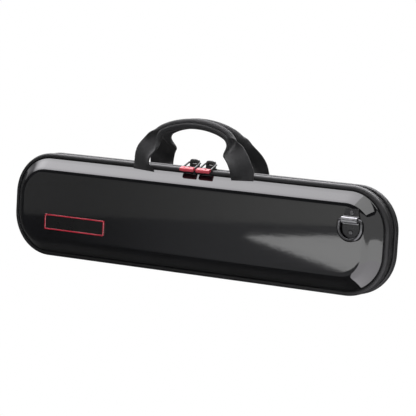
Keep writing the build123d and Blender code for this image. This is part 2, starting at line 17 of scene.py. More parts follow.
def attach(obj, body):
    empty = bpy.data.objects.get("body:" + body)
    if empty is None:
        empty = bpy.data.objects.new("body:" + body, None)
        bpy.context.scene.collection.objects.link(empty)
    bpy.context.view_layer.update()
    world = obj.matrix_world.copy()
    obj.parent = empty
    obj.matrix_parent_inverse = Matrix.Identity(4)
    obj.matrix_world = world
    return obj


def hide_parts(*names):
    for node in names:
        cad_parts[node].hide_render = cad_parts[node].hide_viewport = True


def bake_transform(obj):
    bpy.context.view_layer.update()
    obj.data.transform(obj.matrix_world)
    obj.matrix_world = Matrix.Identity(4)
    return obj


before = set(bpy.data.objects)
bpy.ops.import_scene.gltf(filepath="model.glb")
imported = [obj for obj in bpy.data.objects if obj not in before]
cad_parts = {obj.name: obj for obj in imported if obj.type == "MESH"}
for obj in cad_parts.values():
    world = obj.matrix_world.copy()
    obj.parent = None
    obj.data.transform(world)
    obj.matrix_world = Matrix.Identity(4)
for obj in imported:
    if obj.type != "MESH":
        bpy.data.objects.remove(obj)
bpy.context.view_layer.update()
MM = 0.001

# ---- sizes shared with the CAD model
LENGTH = 440 * MM
HEIGHT = 108 * MM
CORNER_RADIUS = 44 * MM
MID_HEIGHT = HEIGHT / 2
RIM_INSET = 5 * MM
WELT_DEPTH = 12 * MM
WELT_HEIGHT = 4.2 * MM
FACE_DEPTH = 27 * MM
SHELL_WALL = 1.6 * MM
SHELL_DRAFT = math.radians(40)
SHELL_EDGE_RADIUS = 12 * MM
HINGE_HALF_LENGTH = 144 * MM
STOP_END = 150 * MM
WEBBING_WIDTH = 25 * MM
WEBBING_THICKNESS = 1.6 * MM
ROOT_DEPTH = 14.6 * MM
ROOT_HEIGHT = 104.6 * MM
HANDLE_LEAN = math.radians(10)
POCKET = (390 * MM, 66 * MM, 16 * MM)
TRAY_TOP = 2 * MM
TRAY_BACK = 23.5 * MM
CAVITY_FLOOR = 20.5 * MM
PAD_TOP = 7 * MM
PAD_BACK = 15 * MM
PAD_CREST = 5.6 * MM
LINING_TOP = 0.8 * MM
LINING_GAP = 0.25 * MM

# ---- fineness of the swept outlines
CORNER_STEPS = 22
STRAIGHT_STEP = 6 * MM

SIDES = {"lid": -1, "base": 1}


# ---------------------------------------------------------------- mesh helpers


def on_side(side, points):
    """Turns (x, depth, z) points drawn for either half into the CAD model's frame."""
    sign = SIDES[side]
    return [(-sign * x, sign * depth, z) for x, depth, z in points]


def make_object(name, verts, faces, material, smooth=True, uvs=None):
    """A mesh object from plain lists, with one UV per vertex where given."""
    mesh = bpy.data.meshes.new(name)
    mesh.from_pydata([tuple(v) for v in verts], [], faces)
    mesh.validate()
    if uvs is not None:
        layer = mesh.uv_layers.new(name="UVMap")
        for loop in mesh.loops:
            layer.data[loop.index].uv = uvs[loop.vertex_index]
    work = bmesh.new()
    work.from_mesh(mesh)
    bmesh.ops.recalc_face_normals(work, faces=work.faces)
    work.to_mesh(mesh)
    work.free()
    mesh.polygons.foreach_set("use_smooth", [smooth] * len(mesh.polygons))
    mesh.materials.append(material)
    obj = bpy.data.objects.new(name, mesh)
    bpy.context.scene.collection.objects.link(obj)
    return obj


def outline(inset, size=None):
    """(x, z) points round the case's rounded outline at an inset, always as many."""
    length, height, radius = size or (LENGTH, HEIGHT, CORNER_RADIUS)
    corner = max(radius - inset, 0.5 * MM)
    half_x, half_z = length / 2 - inset - corner, height / 2 - inset - corner
    centres = [(half_x, -half_z), (half_x, half_z), (-half_x, half_z), (-half_x, -half_z)]
    along = max(1, round((LENGTH - 2 * CORNER_RADIUS) / STRAIGHT_STEP))
    upright = max(1, round((HEIGHT - 2 * CORNER_RADIUS) / STRAIGHT_STEP))
    points = []
    for quarter, (x, z) in enumerate(centres):
        for k in range(CORNER_STEPS + 1):
            angle = math.radians(90 * (quarter - 1 + k / CORNER_STEPS))
            points.append((x + corner * math.cos(angle), z + corner * math.sin(angle)))
        next_x, next_z = centres[(quarter + 1) % 4]
        first_x, first_z = points[-1]
        steps = along if quarter % 2 else upright
        for k in range(1, steps):
            t = k / steps
            points.append((first_x + (next_x - x) * t, first_z + (next_z - z) * t))
    return [(x, z + MID_HEIGHT) for x, z in points]


def loft(rings, closed_profile=False, caps=()):
    """Quads between rings of equal length; caps lists the rings that one face closes."""
    count = len(rings[0])
    verts = [p for ring in rings for p in ring]
    faces = []
    last = len(rings) if closed_profile else len(rings) - 1
    for i in range(last):
        j = (i + 1) % len(rings)
        for k in range(count):
            n = (k + 1) % count
            faces.append((i * count + k, i * count + n, j * count + n, j * count + k))
    for i in caps:
        faces.append(tuple(range(i * count, i * count + count)))
    return verts, faces


def band_uvs(rings):
    """UVs in metres for a loft: distance round the outline and distance along the profile."""
    uvs = []
    across = 0.0
    for i, ring in enumerate(rings):
        if i:
            across += (Vector(ring[0]) - Vector(rings[i - 1][0])).length
        round_it = 0.0
        for k, point in enumerate(ring):
            if k:
                round_it += (Vector(point) - Vector(ring[k - 1])).length
            uvs.append((round_it, across))
    return uvs


def profile_rings(side, profile, size=None):
    """Rings for a profile of (inset, depth) points swept round the outline."""
    return [
        on_side(side, [(x, depth, z) for x, z in outline(inset, size)]) for inset, depth in profile
    ]


def arc(centre, radius, start, end, steps):
    """Points on an arc in the profile plane, by angles in degrees from the inset axis."""
    angles = [math.radians(start + (end - start) * k / steps) for k in range(steps + 1)]
    return [(centre[0] + radius * math.cos(a), centre[1] + radius * math.sin(a)) for a in angles]


def tube(points, radius, around, upright, closed=False):
    """A round tube along points, its sections turned from an upright direction."""
    count = len(points)
    rings = []
    for index, point in enumerate(points):
        if closed:
            ahead = points[(index + 1) % count] - points[index - 1]
        else:
            ahead = points[min(index + 1, count - 1)] - points[max(index - 1, 0)]
        tangent = ahead.normalized()
        normal = tangent.cross(Vector(upright)).normalized()
        binormal = tangent.cross(normal)
        turns = [2 * math.pi * k / around for k in range(around)]
        ways = [normal * math.cos(t) + binormal * math.sin(t) for t in turns]
        rings.append([point + way * radius for way in ways])
    return loft(rings, closed_profile=closed, caps=() if closed else (0, count - 1))


# ---------------------------------------------------------------- materials


def new_material(name):
    """A node material with its output and Principled shader."""
    material = bpy.data.materials.new(name)
    material.use_nodes = True
    tree = material.node_tree
    return material, tree, tree.nodes["Principled BSDF"]


def bare_material(name):
    """A material with nothing but its output node."""
    material, tree = new_material(name)[:2]
    tree.nodes.clear()
    return material, tree, add(tree, "ShaderNodeOutputMaterial")


def add(tree, kind, **settings):
    """A node with its properties and input values set by name."""
    node = tree.nodes.new(kind)
    for key, value in settings.items():
        if key in node.inputs.keys():
            node.inputs[key].default_value = value
        else:
            setattr(node, key, value)
    return node


def coordinates(tree, kind="Object"):
    """The texture coordinate socket that detail is drawn in."""
    return add(tree, "ShaderNodeTexCoord").outputs[kind]


def ramp(tree, factor, stops):
    """A colour ramp with the given (position, colour) stops."""
    node = add(tree, "ShaderNodeValToRGB")
    elements = node.color_ramp.elements
    while len(elements) < len(stops):
        elements.new(0.5)
    for element, (position, colour) in zip(elements, stops):
        element.position = position
        element.color = (*colour, 1)
    tree.links.new(factor, node.inputs["Fac"])
    return node.outputs["Color"]


def grey(value):
    """A colour of equal parts."""
    return (value, value, value)


def shades(colour, low, high):
    """The colour darkened and lightened by two factors."""
    return [tuple(min(1, c * factor) for c in colour) for factor in (low, high)]


def noise_value(tree, vector, scale, detail=4.0, roughness=0.55):
    """The factor of a noise texture."""
    node = add(tree, "ShaderNodeTexNoise", Scale=scale, Detail=detail, Roughness=roughness)
    tree.links.new(vector, node.inputs["Vector"])
    return node.outputs["Fac"]


def bump(tree, height, strength, distance):
    """A bumped normal, with its distance in metres."""
    node = add(tree, "ShaderNodeBump", Strength=strength, Distance=distance)
    tree.links.new(height, node.inputs["Height"])
    return node.outputs["Normal"]


def blend_value(tree, a, b, operation="MULTIPLY"):
    """The two values, sockets or numbers, joined by a maths node."""
    node = add(tree, "ShaderNodeMath", operation=operation)
    for socket, value in zip(node.inputs, (a, b)):
        if isinstance(value, (int, float)):
            socket.default_value = value
        else:
            tree.links.new(value, socket)
    return node.outputs[0]


def mix_shaders(tree, factor, first, second):
    """The node that mixes two shader nodes by a factor socket."""
    mix = add(tree, "ShaderNodeMixShader")
    for socket, value in zip(mix.inputs, (factor, first.outputs[0], second.outputs[0])):
        tree.links.new(value, socket)
    return mix


def moulded_plastic(name, colour, roughness, coat=0.0, grain=900.0, grain_depth=0.02, specular=0.5):
    """Moulded plastic or enamel: slow colour change, fine grain and worn, uneven roughness."""
    material, tree, shader = new_material(name)
    place = coordinates(tree)
    slow = noise_value(tree, place, 18.0)
    dark, light = shades(colour, 0.75, 1.25)
    tree.links.new(ramp(tree, slow, [(0.3, dark), (0.7, light)]), shader.inputs["Base Color"])
    worn = noise_value(tree, place, 60.0)
    rough = ramp(tree, worn, [(0.3, grey(roughness * 0.85)), (0.7, grey(roughness * 1.2))])
    tree.links.new(rough, shader.inputs["Roughness"])
    fine = noise_value(tree, place, grain, 2.0)
    tree.links.new(bump(tree, fine, grain_depth, 0.0004), shader.inputs["Normal"])
    shader.inputs["Specular IOR Level"].default_value = specular
    shader.inputs["Coat Weight"].default_value = coat
    shader.inputs["Coat Roughness"].default_value = 0.04
    return material


def gloss_shell(name):
    """Pressed glossy sheet: near black, with a trace of orange peel and hairline scuffs."""
    material, tree, shader = new_material(name)
    place = coordinates(tree)
    slow = noise_value(tree, place, 9.0)
    tree.links.new(
        ramp(tree, slow, [(0.3, (0.0042, 0.0044, 0.0054)), (0.7, (0.0066, 0.0066, 0.0078))]),
        shader.inputs["Base Color"],
    )
    stretched = add(tree, "ShaderNodeMapping", Scale=(40.0, 1.0, 900.0))
    tree.links.new(place, stretched.inputs["Vector"])
    scuffs = noise_value(tree, stretched.outputs["Vector"], 1.0, 6.0, 0.7)
    tree.links.new(
        ramp(tree, scuffs, [(0.45, grey(0.035)), (0.75, grey(0.075))]), shader.inputs["Roughness"]
    )
    peel = noise_value(tree, place, 160.0, 2.0)
    tree.links.new(bump(tree, peel, 0.012, 0.0006), shader.inputs["Normal"])
    shader.inputs["IOR"].default_value = 1.5
    return material


def woven(name, colour, pitch, roughness=0.75, depth=0.5, sheen=0.12, fleck=0.35, on_cad=False):
    """Plain-woven nylon in metres: warp and weft ridges, uneven yarns, fibre noise and sheen."""
    material, tree, shader = new_material(name)
    if on_cad:
        axes = add(tree, "ShaderNodeSeparateXYZ")
        tree.links.new(coordinates(tree), axes.inputs[0])
        along = blend_value(tree, axes.outputs["X"], axes.outputs["Z"], "ADD")
        joined = add(tree, "ShaderNodeCombineXYZ")
        tree.links.new(along, joined.inputs["X"])
        tree.links.new(axes.outputs["Y"], joined.inputs["Y"])
        place = joined.outputs[0]
    else:
        place = coordinates(tree, "UV")
    waves = []
    scale = math.pi / (10 * pitch)
    for direction in ("X", "Y"):
        wave = add(tree, "ShaderNodeTexWave", bands_direction=direction, Scale=scale)
        wave.inputs["Distortion"].default_value = 0.6
        wave.inputs["Detail Scale"].default_value = 4.0
        tree.links.new(place, wave.inputs["Vector"])
        waves.append(wave.outputs["Fac"])
    weave = blend_value(tree, waves[0], waves[1], "MULTIPLY")
    fibre = noise_value(tree, coordinates(tree), 2600.0, 3.0)
    yarn = noise_value(tree, place, 0.32 / pitch, 2.0)
    height = blend_value(tree, weave, blend_value(tree, fibre, 0.45), "ADD")
    uneven = blend_value(tree, height, blend_value(tree, yarn, 1.1), "ADD")
    tree.links.new(bump(tree, uneven, depth, pitch * 0.35), shader.inputs["Normal"])
    dark, light = shades(colour, 1 - fleck, 1 + fleck)
    tree.links.new(ramp(tree, uneven, [(0.35, dark), (1.35, light)]), shader.inputs["Base Color"])
    rough = ramp(tree, fibre, [(0.3, grey(roughness * 0.9)), (0.7, grey(roughness * 1.1))])
    tree.links.new(rough, shader.inputs["Roughness"])
    shader.inputs["Specular IOR Level"].default_value = 0.22
    shader.inputs["Sheen Weight"].default_value = sheen
    shader.inputs["Sheen Roughness"].default_value = 0.45
    return material


def leatherette(name, colour, roughness=0.5):
    """Coated piping cloth: small pebbled grain over a faint backing weave."""
    material, tree, shader = new_material(name)
    place = coordinates(tree)
    cells = add(tree, "ShaderNodeTexVoronoi", Scale=1500.0)
    tree.links.new(place, cells.inputs["Vector"])
    fine = noise_value(tree, place, 700.0, 3.0)
    height = blend_value(tree, cells.outputs["Distance"], blend_value(tree, fine, 0.6), "ADD")
    tree.links.new(bump(tree, height, 0.22, 0.0003), shader.inputs["Normal"])
    slow = noise_value(tree, place, 35.0)
    dark, light = shades(colour, 0.8, 1.25)
    tree.links.new(ramp(tree, slow, [(0.3, dark), (0.7, light)]), shader.inputs["Base Color"])
    rough = ramp(tree, fine, [(0.3, grey(roughness * 0.9)), (0.7, grey(roughness * 1.15))])
    tree.links.new(rough, shader.inputs["Roughness"])
    shader.inputs["Specular IOR Level"].default_value = 0.24
    shader.inputs["Sheen Weight"].default_value = 0.035
    return material


def plush(name, colour):
    """Short-pile plush: clumped nap tone, strong sheen, and the brushed pile's sheen painted into
    its colour as light and dark patches.
    """
    material, tree, shader = new_material(name)
    place = coordinates(tree)
    nap = noise_value(tree, place, 1400.0, 5.0, 0.7)
    brushed_pile_sheen = noise_value(tree, place, 22.0, 3.0)
    nap_and_painted_sheen = blend_value(tree, blend_value(tree, nap, 0.6), blend_value(tree, brushed_pile_sheen, 0.4), "ADD")
    dark, light = shades(colour, 0.55, 1.5)
    # Painted sheen: the brushed pile's light and dark patches are drawn into the colour, over the
    # nap's own clumped tone.
    tree.links.new(ramp(tree, nap_and_painted_sheen, [(0.35, dark), (0.65, light)]), shader.inputs["Base Color"])
    tree.links.new(bump(tree, nap, 0.8, 0.0006), shader.inputs["Normal"])
    rough = ramp(tree, brushed_pile_sheen, [(0.3, grey(0.85)), (0.7, grey(1.0))])
    tree.links.new(rough, shader.inputs["Roughness"])
    shader.inputs["Sheen Weight"].default_value = 0.6
    shader.inputs["Sheen Roughness"].default_value = 0.35
    return material


def plated_metal(name, colour, roughness, metallic=1.0):
    """Plated or lacquered metal with cast pitting and fingerprints in its gloss."""
    material, tree, shader = new_material(name)
    place = coordinates(tree)
    smudge = noise_value(tree, place, 220.0, 4.0)
    pits = noise_value(tree, place, 1800.0, 2.0)
    dark, light = shades(colour, 0.85, 1.1)
    tree.links.new(ramp(tree, smudge, [(0.3, dark), (0.7, light)]), shader.inputs["Base Color"])
    rough = ramp(tree, smudge, [(0.35, grey(roughness * 0.75)), (0.7, grey(roughness * 1.35))])
    tree.links.new(rough, shader.inputs["Roughness"])
    tree.links.new(bump(tree, pits, 0.06, 0.0002), shader.inputs["Normal"])
    shader.inputs["Metallic"].default_value = metallic
    return material


SHELL = gloss_shell("shell_gloss")
SHELL_INNER = moulded_plastic("shell_inner", (0.02, 0.02, 0.021), 0.5, grain_depth=0.1)
FRAME_BOARD = moulded_plastic("frame_board", (0.022, 0.022, 0.023), 0.6, grain_depth=0.15)
WELT = leatherette("welt_cloth", (0.0105, 0.0105, 0.0115), 0.5)
THREAD = woven("stitch_thread", (0.03, 0.03, 0.031), 0.3 * MM, depth=0.3)
TAPE = woven("zip_tape_weave", (0.012, 0.012, 0.013), 0.55 * MM)
TAPE_CAD = woven("zip_tape_herringbone", (0.012, 0.012, 0.013), 0.55 * MM, on_cad=True)
COIL = moulded_plastic("coil_nylon", (0.02, 0.02, 0.021), 0.35, grain_depth=0.05)
WEBBING_BLACK = (0.0068, 0.0068, 0.0076)
WEBBING = woven("webbing_weave", WEBBING_BLACK, 1.05 * MM, 0.6, depth=0.9, sheen=0.08, fleck=0.6)
LACQUER = plated_metal("black_lacquer", (0.012, 0.012, 0.013), 0.28, 0.0)
RING_METAL = plated_metal("ring_black_nickel", (0.05, 0.05, 0.052), 0.22)
BRACKET_METAL = plated_metal("bracket_nickel", (0.25, 0.25, 0.26), 0.34)
PLATE_METAL = plated_metal("plate_black_nickel", (0.03, 0.03, 0.031), 0.35)
RUBBER = moulded_plastic("grip_rubber", (0.62, 0.045, 0.075), 0.42, grain=1500.0, grain_depth=0.08)
BADGE_FIELD = moulded_plastic("badge_field", (0.004, 0.004, 0.0045), 0.3, specular=0.25)
BADGE_RED = moulded_plastic("badge_red_enamel", (0.5, 0.006, 0.03), 0.2, coat=0.8)
PLUSH = plush("plush_charcoal", (0.03, 0.03, 0.034))


# ---------------------------------------------------------------- shells

# Shares of the wall's depth that carry a ring. The second keeps the rim out of the wall's shading.
WALL_SHARES = (0, 0.06, 0.3, 0.6)
BEND_STEPS = 14
FACE_RINGS = (1.5 * MM, 4 * MM)


def shell_profile(gap):
    """(inset, depth) along the pressed sheet from rim to flat face, a gap inside its skin."""
    rim = RIM_INSET + gap / math.cos(SHELL_DRAFT)
    depth = FACE_DEPTH - gap
    radius = SHELL_EDGE_RADIUS - gap
    corner = rim + (depth - WELT_DEPTH) * math.tan(SHELL_DRAFT)
    tangent = radius * math.tan((math.pi / 2 - SHELL_DRAFT) / 2)
    centre = (corner + tangent, depth - radius)
    wall_end = 180 - math.degrees(SHELL_DRAFT)
    wall = [
        (rim + (corner - rim) * t, WELT_DEPTH + (depth - WELT_DEPTH) * t) for t in WALL_SHARES
    ]
    bend = arc(centre, radius, wall_end, 90, BEND_STEPS)
    face = [(corner + tangent + extra, depth) for extra in FACE_RINGS]
    return wall + bend + face


def make_shell(side):
    """The pressed sheet as one closed skin, with a softly broken rim."""
    outer = shell_profile(0)
    inner = shell_profile(SHELL_WALL)
    rim = outer[0][0]
    edge = [(rim + 0.35 * MM, WELT_DEPTH - 0.02 * MM), (rim + 0.08 * MM, WELT_DEPTH + 0.1 * MM)]
    outer[0] = (rim + 0.02 * MM, WELT_DEPTH + 0.35 * MM)
    rings = profile_rings(side, inner[::-1] + edge + outer)
    verts, faces = loft(rings, caps=(0, len(rings) - 1))
    shell = make_object(f"{side}_shell_skin", verts, faces, SHELL)
    shell.data.materials.append(SHELL_INNER)
    polygons = shell.data.polygons
    inner_cap = len(polygons) - 2
    for index in (*range(len(inner) * len(rings[0])), inner_cap):
        polygons[index].material_index = 1
    for cap in polygons[inner_cap:]:
        cap.use_smooth = False
    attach(shell, side)
    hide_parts(f"{side}_shell")


# ---------------------------------------------------------------- rims

STITCH_GROOVE = 6.6 * MM
STITCH_PITCH = 3.2 * MM
STITCH_LENGTH = 1.9 * MM
STITCH_INSET = 0.5 * MM
STITCH_LOWEST = 0.6 * MM
THREAD_RADIUS = 0.22 * MM
BEAD_RADIUS = 3.0 * MM
LIP_CENTRE, LIP_RADIUS = (1.6 * MM, 5.25 * MM), 1.55 * MM
WELT_SWELL = 0.12 * MM
WELT_SWELL_RATE = 60
WELT_GROOVE = [(0.0, 7.6), (0.12, 7.1), (0.55, 6.75), (0.62, 6.6), (0.55, 6.45), (0.15, 6.1)]


def welt_profile():
    """Closed (inset, depth) section of the piping: a round bead, a sewn groove and a flat lip."""
    front = arc((BEAD_RADIUS, WELT_DEPTH - BEAD_RADIUS), BEAD_RADIUS, 90, 180, 8)
    groove = [(inset * MM, depth * MM) for inset, depth in WELT_GROOVE]
    lip = arc(LIP_CENTRE, LIP_RADIUS, 170, 270, 7)
    under = [(WELT_HEIGHT - 0.05 * MM, 3.75 * MM), (WELT_HEIGHT, 4.1 * MM)]
    back = [(WELT_HEIGHT, 11.6 * MM), (WELT_HEIGHT - 0.3 * MM, WELT_DEPTH)]
    return front + groove + lip + under + back


def make_welt(side):
    """The padded piping, a little uneven as sewn cloth is."""
    rings = profile_rings(side, welt_profile())
    verts, faces = loft(rings, closed_profile=True)
    welt = make_object(f"{side}_welt_piping", verts, faces, WELT, uvs=band_uvs(rings))
    for vertex in welt.data.vertices:
        if vertex.co.z > 1.0 * MM:
            vertex.co.y += noise.noise(vertex.co * WELT_SWELL_RATE) * WELT_SWELL
    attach(welt, side)
    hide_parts(f"{side}_welt")


def outline_walk(inset, pitch):
    """Evenly spaced (x, z, tangent x, tangent z) round the outline at an inset."""
    ring = outline(inset)
    ring.append(ring[0])
    spots = []
    left = 0.0
    for (ax, az), (bx, bz) in zip(ring, ring[1:]):
        run = math.hypot(bx - ax, bz - az)
        if run < 1e-9:
            continue
        tx, tz = (bx - ax) / run, (bz - az) / run
        while left < run:
            spots.append((ax + tx * left, az + tz * left, tx, tz))
            left += pitch
        left -= run
    return spots


def capsule(length, radius, rings=3, around=6):
    """Vertices and faces of a small round-ended rod along its own x."""
    stations = []
    for k in range(rings + 1):
        angle = math.pi / 2 * k / rings
        stations.append((-length / 2 - radius * math.cos(angle), radius * math.sin(angle)))
    stations += [(-x, r) for x, r in stations[::-1]]
    turns = [2 * math.pi * k / around for k in range(around)]
    whole = [[(x, r * math.cos(t), r * math.sin(t)) for t in turns] for x, r in stations[1:-1]]
    verts, faces = loft(whole)
    start, end = len(verts), len(verts) + 1
    verts += [(stations[0][0], 0, 0), (stations[-1][0], 0, 0)]
    for k in range(around):
        n = (k + 1) % around
        faces.append((start, n, k))
        faces.append((end, start - around + k, start - around + n))
    return verts, faces


def make_stitches(side):
    """The thread that shows in the piping's sewn groove."""
    rod, rod_faces = capsule(STITCH_LENGTH, THREAD_RADIUS)
    verts, faces = [], []
    for x, z, tx, tz in outline_walk(STITCH_INSET, STITCH_PITCH):
        if z < STITCH_LOWEST:
            continue
        base = len(verts)
        nx, nz = tz, -tx
        for along, out, deep in rod:
            place = (x + tx * along + nx * out, z + tz * along + nz * out)
            verts.append((place[0], STITCH_GROOVE + deep, place[1]))
        faces += [tuple(i + base for i in face) for face in rod_faces]
    stitches = make_object(f"{side}_welt_stitches", on_side(side, verts), faces, THREAD)
    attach(stitches, side)


# ---------------------------------------------------------------- zip chain

COIL_PITCH = 1.5 * MM
COIL_STEPS = 12
COIL_INSET = 2.2 * MM
COIL_DEPTH = 1.22 * MM
COIL_REACH = 0.98 * MM
COIL_HALF_HEIGHT = 0.75 * MM
COIL_HEAD = 0.12 * MM
COIL_LEAN = 0.12
COIL_LOWEST = 30 * MM
WIRE = 0.42 * MM
WIRE_SIDES = 5


def coil_runs(side):
    """The helix's points, cut into runs where the hinge takes the zip's place."""
    runs, run = [], []
    for index, (x, z, tx, tz) in enumerate(outline_walk(COIL_INSET, COIL_PITCH / COIL_STEPS)):
        nx, nz = tz, -tx
        turn = 2 * math.pi * index / COIL_STEPS
        across = math.cos(turn)
        depth = COIL_DEPTH - across * COIL_REACH - max(across, 0) ** 3 * COIL_HEAD
        out = math.sin(turn) * COIL_HALF_HEIGHT
        lean = across * COIL_PITCH * COIL_LEAN
        point = (x + nx * out + tx * lean, depth, z + nz * out + tz * lean)
        if point[2] < COIL_LOWEST and abs(point[0]) < STOP_END:
            runs.append(run)
            run = []
        else:
            run.append(point)
    runs.append(run)
    return [on_side(side, run) for run in runs if len(run) > 2 * COIL_STEPS]


def make_coil(side):
    """One half of the coil zip: a flattened helix that reaches between its partner's turns."""
    verts, faces = [], []
    for run in coil_runs(side):
        base = len(verts)
        points = [Vector(point) for point in run]
        run_verts, run_faces = tube(points, WIRE * 0.5, WIRE_SIDES, (0, 1, 0.05))
        verts += run_verts
        faces += [tuple(i + base for i in face) for face in run_faces]
    coil = make_object(f"{side}_zip_chain", verts, faces, COIL)
    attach(coil, side)
    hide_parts(f"{side}_zip_coil")


HINGE_STEPS = 60
HINGE_FOLD = 3.4
HINGE_FOLD_THICKNESS = 0.45
HINGE_WING_THICKNESS = 0.25
HINGE_NARROWING = 0.86
# (y, z) in millimetres across the folded strip's outer face.
HINGE_SECTION = [
    (-10.4, 4.62), (-3.9, 4.62), (-3.25, 4.2), (-3.05, 2.6), (-2.4, 1.45), (-1.2, 1.08),
    (0, 1.0), (1.2, 1.08), (2.4, 1.45), (3.05, 2.6), (3.25, 4.2), (3.9, 4.62), (10.4, 4.62),
]


def make_hinge():
    """The folded strip that joins the two tapes along the bottom edge."""
    inner = []
    for y, z in HINGE_SECTION:
        if abs(y) < HINGE_FOLD:
            inner.append((y * HINGE_NARROWING, z + HINGE_FOLD_THICKNESS))
        else:
            inner.append((y, z + HINGE_WING_THICKNESS))
    loop = [(y * MM, z * MM) for y, z in HINGE_SECTION + inner[::-1]]
    lengths = [0.0]
    for (ay, az), (by, bz) in zip(loop, loop[1:]):
        lengths.append(lengths[-1] + math.hypot(by - ay, bz - az))
    rings, uvs = [], []
    for i in range(HINGE_STEPS + 1):
        x = -HINGE_HALF_LENGTH + 2 * HINGE_HALF_LENGTH * i / HINGE_STEPS
        rings.append([(x, y, z) for y, z in loop])
        uvs += [(x, along) for along in lengths]
    verts, faces = loft(rings, caps=(0, HINGE_STEPS))
    hinge = make_object("hinge_strip", verts, faces, TAPE, uvs=uvs)
    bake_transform(hinge)
    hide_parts("hinge_fabric")


# ---------------------------------------------------------------- handles

# In millimetres: the webbing's outer edge as (x, rise) from its left root to the crown, and how far
# it stands out as (rise, bulge).
OUTER_EDGE = [
    (-70.4, -2.6), (-70.2, 5), (-68.6, 13), (-65.2, 21), (-60.2, 28), (-54, 34.8),
    (-46.4, 41), (-38, 46), (-27.5, 50.2), (-14, 53.2), (0, 54.2),
]
BULGE = [(0, 1.0), (6, 3.4), (14, 4.8), (22, 4.4), (30, 2.4), (40, 0.2), (60, -1.2)]
# Both handles lean to the left, as worn ones do.
SWAY = -5.2 * MM
SWAY_HEIGHT = 36 * MM
CUP_LENGTH = 11 * MM
CUP_ANGLE = math.radians(56)
CUP_TILT = math.radians(7)
FOLD_START = 35 * MM
FOLD_END = 60 * MM
FOLD_BACK = 1.7 * MM
FOLD_RADIUS = 2.9 * MM
EAR_TRIM = 1.5 * MM
SELVEDGE = 0.045
SELVEDGE_THINNING = 0.4
TURN_SOFTNESS = 10 * MM
CURVE_STEPS = 40
WIDTH_SAMPLES = 32
FINE_STEPS = 6
HANDLE_STATIONS = 170


def softened(values, spread):
    """The values averaged along the strap with a bell of this many stations, ends held."""
    reach = int(3 * spread)
    bell = np.exp(-0.5 * (np.arange(-reach, reach + 1) / spread) ** 2)
    padded = np.pad(values, reach, mode="edge")
    return np.convolve(padded, bell / bell.sum(), mode="valid")


def handle_path():
    """Even stations along the webbing's outer edge: x, rise, tangent, bulge, place and length."""
    half = [(x * MM, s * MM) for x, s in OUTER_EDGE]
    control = half + [(-x, s) for x, s in half[-2::-1]]
    padded = [control[0]] + control + [control[-1]]
    dense = []
    for i in range(1, len(padded) - 2):
        p0, p1, p2, p3 = (Vector(padded[i + k]) for k in (-1, 0, 1, 2))
        for step in range(CURVE_STEPS):
            t = step / CURVE_STEPS
            dense.append(
                0.5
                * (
                    2 * p1
                    + (p2 - p0) * t
                    + (2 * p0 - 5 * p1 + 4 * p2 - p3) * t * t
                    + (3 * p1 - p0 - 3 * p2 + p3) * t**3
                )
            )
    dense.append(Vector(control[-1]))
    lengths = np.concatenate([[0], np.cumsum([(b - a).length for a, b in zip(dense, dense[1:])])])
    total = lengths[-1]
    spots = np.linspace(0, total, HANDLE_STATIONS)
    xs = np.interp(spots, lengths, [p.x for p in dense])
    ss = np.interp(spots, lengths, [p.y for p in dense])
    step = total / (HANDLE_STATIONS - 1)
    tangents = np.stack([softened(np.gradient(v), TURN_SOFTNESS / step) for v in (xs, ss)], axis=1)
    tangents /= np.linalg.norm(tangents, axis=1)[:, None]
    heights, outs = zip(*BULGE)
    bulges = softened(np.interp(ss / MM, heights, outs) * MM, TURN_SOFTNESS / 2 / step)
    return xs, ss, tangents, bulges, spots, total


def smooth(value):
    """An eased step: 0 up to 0, 1 from 1 on."""
    value = min(1.0, max(0.0, value))
    return value * value * (3 - 2 * value)


def strap_section(cup, fold):
    """Mid-surface (across, out, heading) samples below the outer edge: cupped legs, folded grip."""
    half = WEBBING_WIDTH / 2
    steps = WIDTH_SAMPLES // 2
    step = half / (steps * FINE_STEPS)
    tilt = -CUP_TILT * cup * (1 - fold)
    halves = []
    for sign in (-1, 1):
        across, out, heading = 0.0, 0.0, tilt
        samples = [(across, out, heading)]
        for index in range(steps * FINE_STEPS):
            middle = (index + 0.5) * step
            curvature = fold / FOLD_RADIUS if middle > FOLD_BACK else 0.0
            if sign < 0:
                curvature += (1 - fold) * cup * CUP_ANGLE / half
            heading += sign * curvature * step
            across += sign * math.cos(heading) * step
            out += sign * math.sin(heading) * step
            if index % FINE_STEPS == FINE_STEPS - 1:
                samples.append((across, out, heading))
        halves.append(samples)
    whole = halves[0][:0:-1] + halves[1]
    top = max(across for across, out, heading in whole) + WEBBING_THICKNESS / 2 * fold
    top += EAR_TRIM * 4 * fold * (1 - fold)
    outs = [out for across, out, heading in halves[1]]
    centre = (max(outs) + min(outs)) / 2 * smooth(2 * fold)
    return [(across - top, out - centre, heading) for across, out, heading in whole]


def handle_ring(place, tangent, bulge, from_root, spot):
    """(point, uv) pairs round one section of the lid's webbing, front face then back."""
    lean_up = Vector((0, math.sin(HANDLE_LEAN), math.cos(HANDLE_LEAN)))
    lean_out = Vector((0, -math.cos(HANDLE_LEAN), math.sin(HANDLE_LEAN)))
    centre = Vector((place[0], -ROOT_DEPTH, ROOT_HEIGHT)) + lean_up * place[1]
    normal = Vector((-tangent[1], 0, 0)) + lean_up * tangent[0]
    fold = smooth((from_root - FOLD_START) / (FOLD_END - FOLD_START))
    section = strap_section(smooth(from_root / CUP_LENGTH), fold)
    front, back = [], []
    for index, (across, out, heading) in enumerate(section):
        middle = centre + normal * across + lean_out * (out + bulge)
        face = lean_out * math.cos(heading) - normal * math.sin(heading)
        width = (index / (len(section) - 1) - 0.5) * WEBBING_WIDTH
        from_selvedge = smooth((abs(width) / WEBBING_WIDTH - 0.5 + SELVEDGE) / SELVEDGE)
        face *= WEBBING_THICKNESS / 2 * (1 - SELVEDGE_THINNING * from_selvedge)
        front.append((middle + face, (spot, width)))
        back.append((middle - face, (spot, width + WEBBING_WIDTH)))
    return front + back[::-1]


